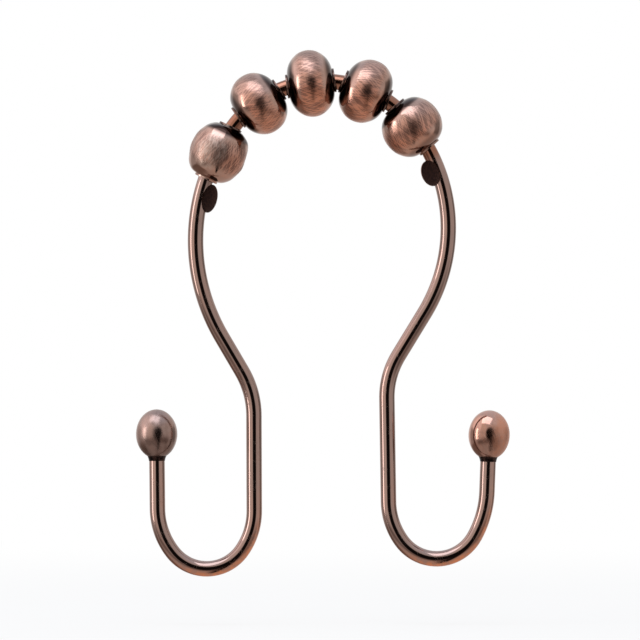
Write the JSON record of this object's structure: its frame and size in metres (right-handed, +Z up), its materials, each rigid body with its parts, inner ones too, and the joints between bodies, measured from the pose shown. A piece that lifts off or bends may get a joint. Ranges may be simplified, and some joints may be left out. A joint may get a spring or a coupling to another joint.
{
  "type": "double shower curtain hook with roller beads",
  "caption": "Bent wire hook with roller beads over a curtain rod and an upturned, ball-ended hook on each side for the curtain and its liner.",
  "frame": {"origin": "centre of the crown's arc, where the curtain rod lies under the beads", "axes": "+Z up towards the beads, +X to the right seen from the front, +Y away from the viewer, along the rod"},
  "size_m": [0.0691, 0.0124, 0.0974],
  "materials": {
    "wire": "steel wire, antique copper plate, polished, fine drawing lines",
    "bead": "steel bead, antique copper plate, brushed, darker in its hollows",
    "ball": "steel ball, antique copper plate, lightly scuffed"
  },
  "bodies": {
    "root": {"wire_frame": "wire", "end_ball_left": "ball", "end_ball_right": "ball"},
    "roller_bead_1": {"roller_bead_1": "bead"},
    "roller_bead_2": {"roller_bead_2": "bead"},
    "roller_bead_3": {"roller_bead_3": "bead"},
    "roller_bead_4": {"roller_bead_4": "bead"},
    "roller_bead_5": {"roller_bead_5": "bead"}
  },
  "joints": [
    {"name": "roller_bead_1_spin", "type": "hinge", "parent": "root", "child": "roller_bead_1", "pos_m": [-0.01942, 0, 0.00751], "axis": [0.4302, 0, 0.9027], "continuous": true},
    {"name": "roller_bead_2_spin", "type": "hinge", "parent": "root", "child": "roller_bead_2", "pos_m": [-0.01192, 0, 0.01659], "axis": [0.824, 0, 0.5666], "continuous": true},
    {"name": "roller_bead_3_spin", "type": "hinge", "parent": "root", "child": "roller_bead_3", "pos_m": [-0.00232, 0, 0.02032], "axis": [0.991, 0, 0.134], "continuous": true},
    {"name": "roller_bead_4_spin", "type": "hinge", "parent": "root", "child": "roller_bead_4", "pos_m": [0.00784, 0, 0.01887], "axis": [0.9153, 0, -0.4027], "continuous": true},
    {"name": "roller_bead_5_spin", "type": "hinge", "parent": "root", "child": "roller_bead_5", "pos_m": [0.01642, 0, 0.01225], "axis": [0.6499, 0, -0.76], "continuous": true}
  ]
}
